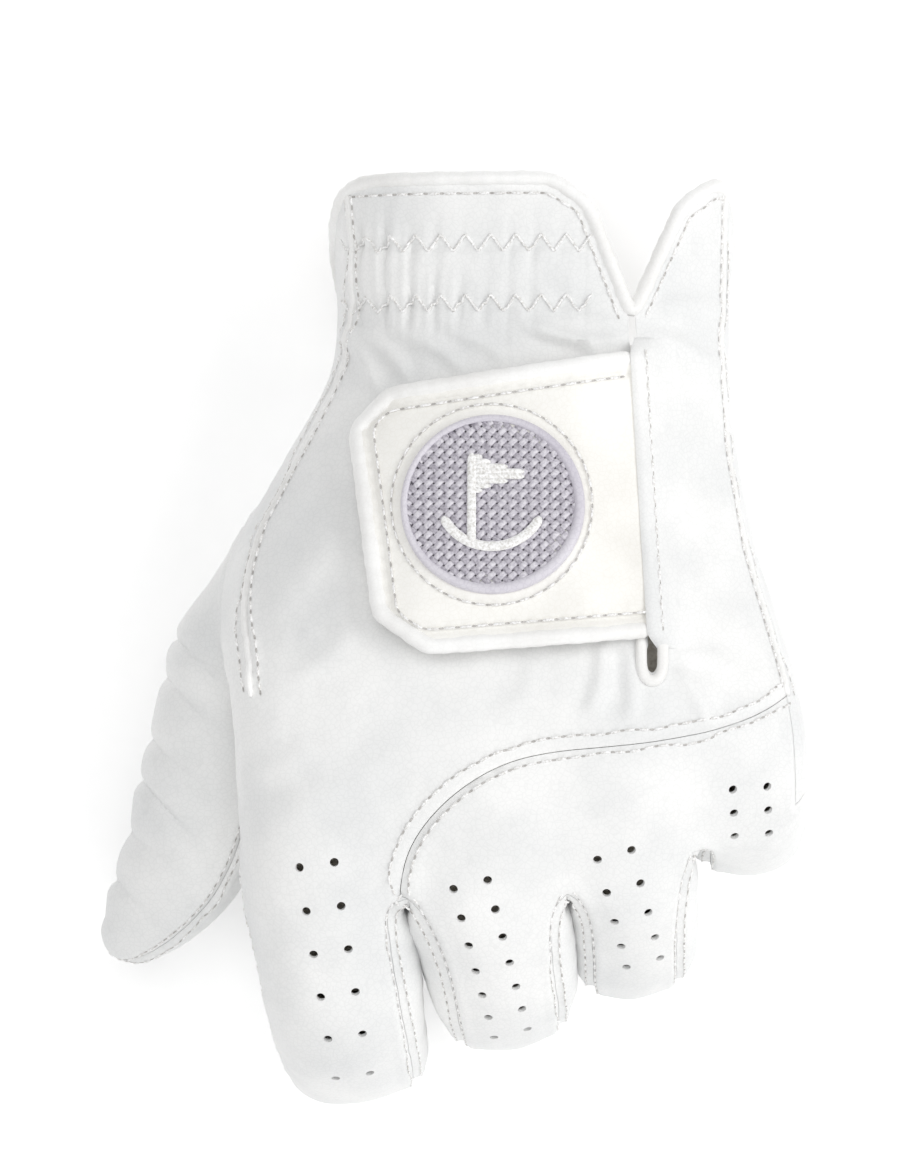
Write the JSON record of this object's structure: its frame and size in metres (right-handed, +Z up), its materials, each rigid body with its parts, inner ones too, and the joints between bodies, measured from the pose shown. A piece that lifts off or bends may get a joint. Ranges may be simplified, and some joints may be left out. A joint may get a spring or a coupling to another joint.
{
  "type": "golf glove",
  "caption": "White leather golf glove for the left hand with curled fingers, perforated finger backs, a wrist slit and a hook-and-loop closure tab with a round badge.",
  "frame": {"origin": "centre of the object box in X and Y, on the surface it rests on", "axes": "+X to the little finger side, +Y from the knuckles to the cuff, +Z up through the back of the hand"},
  "size_m": [0.1176, 0.1554, 0.063],
  "materials": {
    "leather": "soft matt white glove leather",
    "binding_leather": "smooth rolled white leather edging",
    "loop_fabric": "napped loop fabric",
    "hook_plastic": "moulded hook tape",
    "elastic_fabric": "woven flat elastic",
    "badge_weave": "grey and lilac basket weave",
    "badge_rim": "pale lavender moulded edge"
  },
  "bodies": {
    "hand": {"back_panel": "leather", "knuckle_panel": "leather", "palm_panel": "leather", "thumb_side_strip": "leather", "index_side_strip": "leather", "cuff_binding": "binding_leather", "slit_edge_strip": "binding_leather", "slit_end_binding": "binding_leather", "loop_pad": "loop_fabric", "wrist_elastic": "elastic_fabric", "thumb_piping": "binding_leather", "outseam_piping": "binding_leather"},
    "tab": {"tab_top": "leather", "tab_lining": "leather", "tab_binding": "binding_leather", "hook_pad": "hook_plastic", "badge_disc": "badge_weave", "badge_rim": "badge_rim", "badge_motif": "badge_rim"},
    "thumb": {"thumb_root_crease": "leather", "thumb_back": "leather", "thumb_front": "leather"},
    "index": {"index_root_crease": "leather", "index_back": "leather", "index_front": "leather", "index_fourchette_inner": "leather"},
    "middle": {"middle_root_crease": "leather", "middle_back": "leather", "middle_front": "leather", "middle_fourchette_outer": "leather", "middle_fourchette_inner": "leather"},
    "ring": {"ring_root_crease": "leather", "ring_back": "leather", "ring_front": "leather", "ring_fourchette_outer": "leather", "ring_fourchette_inner": "leather"},
    "little": {"little_root_crease": "leather", "little_back": "leather", "little_front": "leather", "little_fourchette_outer": "leather"}
  },
  "joints": [
    {"name": "index_root_bend", "type": "hinge", "parent": "hand", "child": "index", "pos_m": [-0.02059, -0.03972, 0.0446], "axis": [1, 0, 0], "range_deg": [-25, 12], "deforming": ["index_root_crease"]},
    {"name": "middle_root_bend", "type": "hinge", "parent": "hand", "child": "middle", "pos_m": [0.00616, -0.04182, 0.044], "axis": [1, 0, 0], "range_deg": [-25, 12], "deforming": ["middle_root_crease"]},
    {"name": "ring_root_bend", "type": "hinge", "parent": "hand", "child": "ring", "pos_m": [0.02926, -0.03762, 0.0412], "axis": [1, 0, 0], "range_deg": [-25, 12], "deforming": ["ring_root_crease"]},
    {"name": "little_root_bend", "type": "hinge", "parent": "hand", "child": "little", "pos_m": [0.04936, -0.02502, 0.0372], "axis": [1, 0, 0], "range_deg": [-25, 10], "deforming": ["little_root_crease"]},
    {"name": "thumb_root_swing", "type": "hinge", "parent": "hand", "child": "thumb", "pos_m": [-0.03694, -0.00342, 0.018], "axis": [0, 0, 1], "range_deg": [-18, 8], "deforming": ["thumb_root_crease"]},
    {"name": "tab_peel", "type": "hinge", "parent": "hand", "child": "tab", "pos_m": [0.02996, 0.024, 0.0523], "axis": [-0.0508, 0.9826, -0.1785], "range_deg": [0, 140]}
  ]
}
